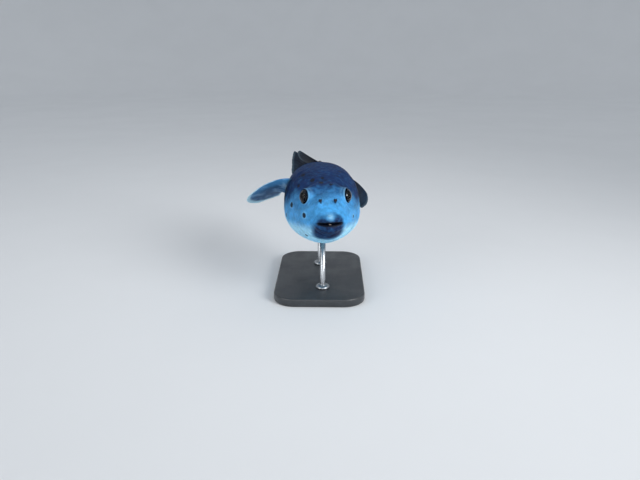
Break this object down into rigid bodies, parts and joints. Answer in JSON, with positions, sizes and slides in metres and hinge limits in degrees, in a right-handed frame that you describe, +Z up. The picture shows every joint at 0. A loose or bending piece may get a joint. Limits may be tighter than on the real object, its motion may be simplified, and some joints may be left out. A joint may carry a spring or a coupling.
{
  "type": "blackspotted puffer fish display model",
  "caption": "Still life-size model of a blackspotted puffer fish swimming, with its fins spread, held on a plain display stand by short rods.",
  "frame": {"origin": "middle of the stand base's underside", "axes": "+Z up; +Y runs from the fish's head to its tail, which is the longest way; +X is to the fish's own left"},
  "size_m": [0.1176, 0.2365, 0.1201],
  "materials": {
    "skin": "damp fish skin, slate blue-grey, with scattered black spots",
    "pale_skin": "damp fish skin, pale blue-grey on the face and belly, with scattered black spots",
    "dark_skin": "damp fish skin, almost black navy, on the lips and nostril flaps",
    "fin": "thin rayed fin membrane, blue-grey with a dark root and a white edge",
    "eye": "wet, glossy, nearly black eye with a thin pale ring",
    "tooth": "smooth cream-white beak",
    "stand_paint": "satin charcoal painted wood",
    "stand_steel": "satin steel rod"
  },
  "bodies": {
    "root": {"head": "pale_skin", "snout": "skin", "lip_upper": "dark_skin", "lip_lower": "dark_skin", "trunk": "skin", "belly": "pale_skin", "tail_stalk": "skin", "tail_fin": "fin", "dorsal_fin": "fin", "anal_fin": "fin", "pectoral_fin_left": "fin", "pectoral_fin_right": "fin", "eye_left": "eye", "eye_right": "eye", "nose_flap_left": "dark_skin", "nose_flap_right": "dark_skin", "beak_upper": "tooth", "beak_lower": "tooth", "stand_base": "stand_paint", "stand_rod_front": "stand_steel", "stand_rod_rear": "stand_steel"}
  },
  "joints": []
}
